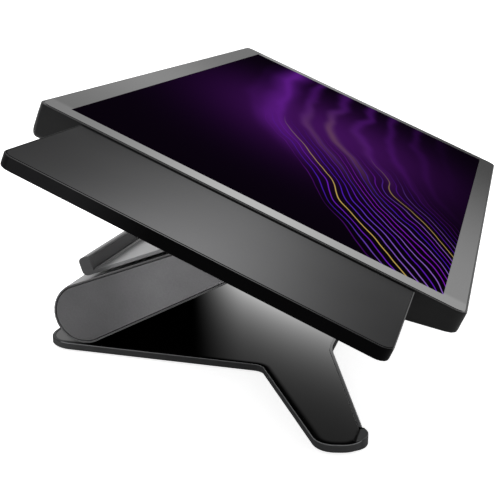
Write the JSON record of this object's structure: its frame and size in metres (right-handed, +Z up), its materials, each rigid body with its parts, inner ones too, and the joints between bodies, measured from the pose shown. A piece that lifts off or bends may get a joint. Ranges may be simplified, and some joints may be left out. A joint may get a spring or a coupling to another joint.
{
  "type": "pen display on ergonomic stand",
  "caption": "Large interactive pen display with a flat side tray on a low stand: splayed two-leg base, wide tapered lift arm, tilting and rotating head, rear press keys and fans.",
  "frame": {"origin": "on the desk plane (z = 0), in the stand's middle plane, straight below the arm's hinge axis at the rear of the base", "axes": "+X from the user's left to right, +Y away from the user towards the rear, +Z up; at rest the arm is low and the display tilted 23.35 degrees"},
  "size_m": [0.7666, 0.4575, 0.295],
  "materials": {
    "etched_glass": "etched, satin",
    "screen": "satin dark",
    "film": "white film",
    "circuit_board": "satin",
    "frame_black": "fine texture",
    "cover_black": "fine texture",
    "cast_alloy": "cast",
    "fin_alloy": "extruded",
    "tray_black": "satin",
    "tray_pad": "satin",
    "rubber": "matt",
    "arm_grey": "fine texture",
    "arm_cover_grey": "fine texture",
    "lever_grey": "satin",
    "base_grey": "satin",
    "base_gloss": "glossy",
    "steel": "turned",
    "black_plastic": "satin"
  },
  "bodies": {
    "stand_base": {"base_plate": "base_grey", "base_inlay": "base_gloss", "leg_cap_left": "rubber", "leg_cap_right": "rubber", "foot_rear": "rubber", "foot_tip_left": "rubber", "foot_tip_right": "rubber", "hinge_bracket": "cast_alloy", "hinge_shaft": "steel", "lift_spring_left": "steel", "lift_spring_right": "steel"},
    "arm": {"arm_housing": "arm_grey", "side_cover_left": "arm_cover_grey", "side_cover_right": "arm_cover_grey", "arm_frame": "cast_alloy", "elbow_shaft": "steel", "friction_pack_left": "steel", "friction_pack_right": "steel", "lever_hinge": "cast_alloy", "lever_pin": "steel"},
    "lever": {"lift_lever": "lever_grey", "lever_pad": "rubber"},
    "tilt_head": {"tilt_bracket": "cast_alloy", "turntable_base": "arm_grey", "slip_ring": "film"},
    "display": {"rotation_spindle": "steel", "mount_plate": "cast_alloy", "cover_glass": "etched_glass", "inner_frame": "cast_alloy", "lcd_panel": "screen", "backlight_unit": "film", "pen_sensor_board": "circuit_board", "chassis_plate": "cast_alloy", "main_board": "circuit_board", "power_board": "circuit_board", "heat_sink": "fin_alloy", "fan_housing_left": "black_plastic", "fan_housing_right": "black_plastic", "display_housing": "frame_black", "port_cover": "cover_black", "grip_left": "rubber", "grip_right": "rubber", "tray_shell": "tray_black", "tray_pad": "tray_pad", "tray_bracket_front": "cast_alloy", "tray_bracket_rear": "cast_alloy", "tray_screw_front": "steel", "tray_screw_rear": "steel"},
    "fan_rotor_left": {"fan_wheel_left": "black_plastic"},
    "fan_rotor_right": {"fan_wheel_right": "black_plastic"},
    "power_key": {"power_button": "black_plastic"},
    "key_left_1": {"express_key_left_1": "black_plastic"},
    "key_left_2": {"express_key_left_2": "black_plastic"},
    "key_left_3": {"express_key_left_3": "black_plastic"},
    "key_left_4": {"express_key_left_4": "black_plastic"},
    "key_right_1": {"express_key_right_1": "black_plastic"},
    "key_right_2": {"express_key_right_2": "black_plastic"},
    "key_right_3": {"express_key_right_3": "black_plastic"},
    "key_right_4": {"express_key_right_4": "black_plastic"}
  },
  "joints": [
    {"name": "arm_lift", "type": "hinge", "parent": "stand_base", "child": "arm", "pos_m": [0, 0, 0.044], "axis": [-1, 0, 0], "range_deg": [-5, 30]},
    {"name": "lift_release", "type": "hinge", "parent": "arm", "child": "lever", "pos_m": [0, -0.1211, 0.13318], "axis": [1, 0, 0], "range_deg": [0, 10]},
    {"name": "display_tilt", "type": "hinge", "parent": "arm", "child": "tilt_head", "pos_m": [0, -0.197, 0.13326], "axis": [1, 0, 0], "range_deg": [-15, 25]},
    {"name": "display_rotate", "type": "hinge", "parent": "tilt_head", "child": "display", "pos_m": [0, -0.2347, 0.2206], "axis": [0, -0.3963, 0.9181], "range_deg": [-20, 20]},
    {"name": "fan_spin_left", "type": "hinge", "parent": "display", "child": "fan_rotor_left", "pos_m": [-0.125, -0.137, 0.24154], "axis": [0, -0.3963, 0.9181], "continuous": true},
    {"name": "fan_spin_right", "type": "hinge", "parent": "display", "child": "fan_rotor_right", "pos_m": [0.125, -0.137, 0.24154], "axis": [0, -0.3963, 0.9181], "continuous": true},
    {"name": "power_press", "type": "slide", "parent": "display", "child": "power_key", "axis": [0, -0.9181, -0.3963], "range_m": [0, 0.0008]},
    {"name": "key_press_left_1", "type": "slide", "parent": "display", "child": "key_left_1", "axis": [0, -0.3963, 0.9181], "range_m": [0, 0.0008]},
    {"name": "key_press_left_2", "type": "slide", "parent": "display", "child": "key_left_2", "axis": [0, -0.3963, 0.9181], "range_m": [0, 0.0008]},
    {"name": "key_press_left_3", "type": "slide", "parent": "display", "child": "key_left_3", "axis": [0, -0.3963, 0.9181], "range_m": [0, 0.0008]},
    {"name": "key_press_left_4", "type": "slide", "parent": "display", "child": "key_left_4", "axis": [0, -0.3963, 0.9181], "range_m": [0, 0.0008]},
    {"name": "key_press_right_1", "type": "slide", "parent": "display", "child": "key_right_1", "axis": [0, -0.3963, 0.9181], "range_m": [0, 0.0008]},
    {"name": "key_press_right_2", "type": "slide", "parent": "display", "child": "key_right_2", "axis": [0, -0.3963, 0.9181], "range_m": [0, 0.0008]},
    {"name": "key_press_right_3", "type": "slide", "parent": "display", "child": "key_right_3", "axis": [0, -0.3963, 0.9181], "range_m": [0, 0.0008]},
    {"name": "key_press_right_4", "type": "slide", "parent": "display", "child": "key_right_4", "axis": [0, -0.3963, 0.9181], "range_m": [0, 0.0008]}
  ]
}
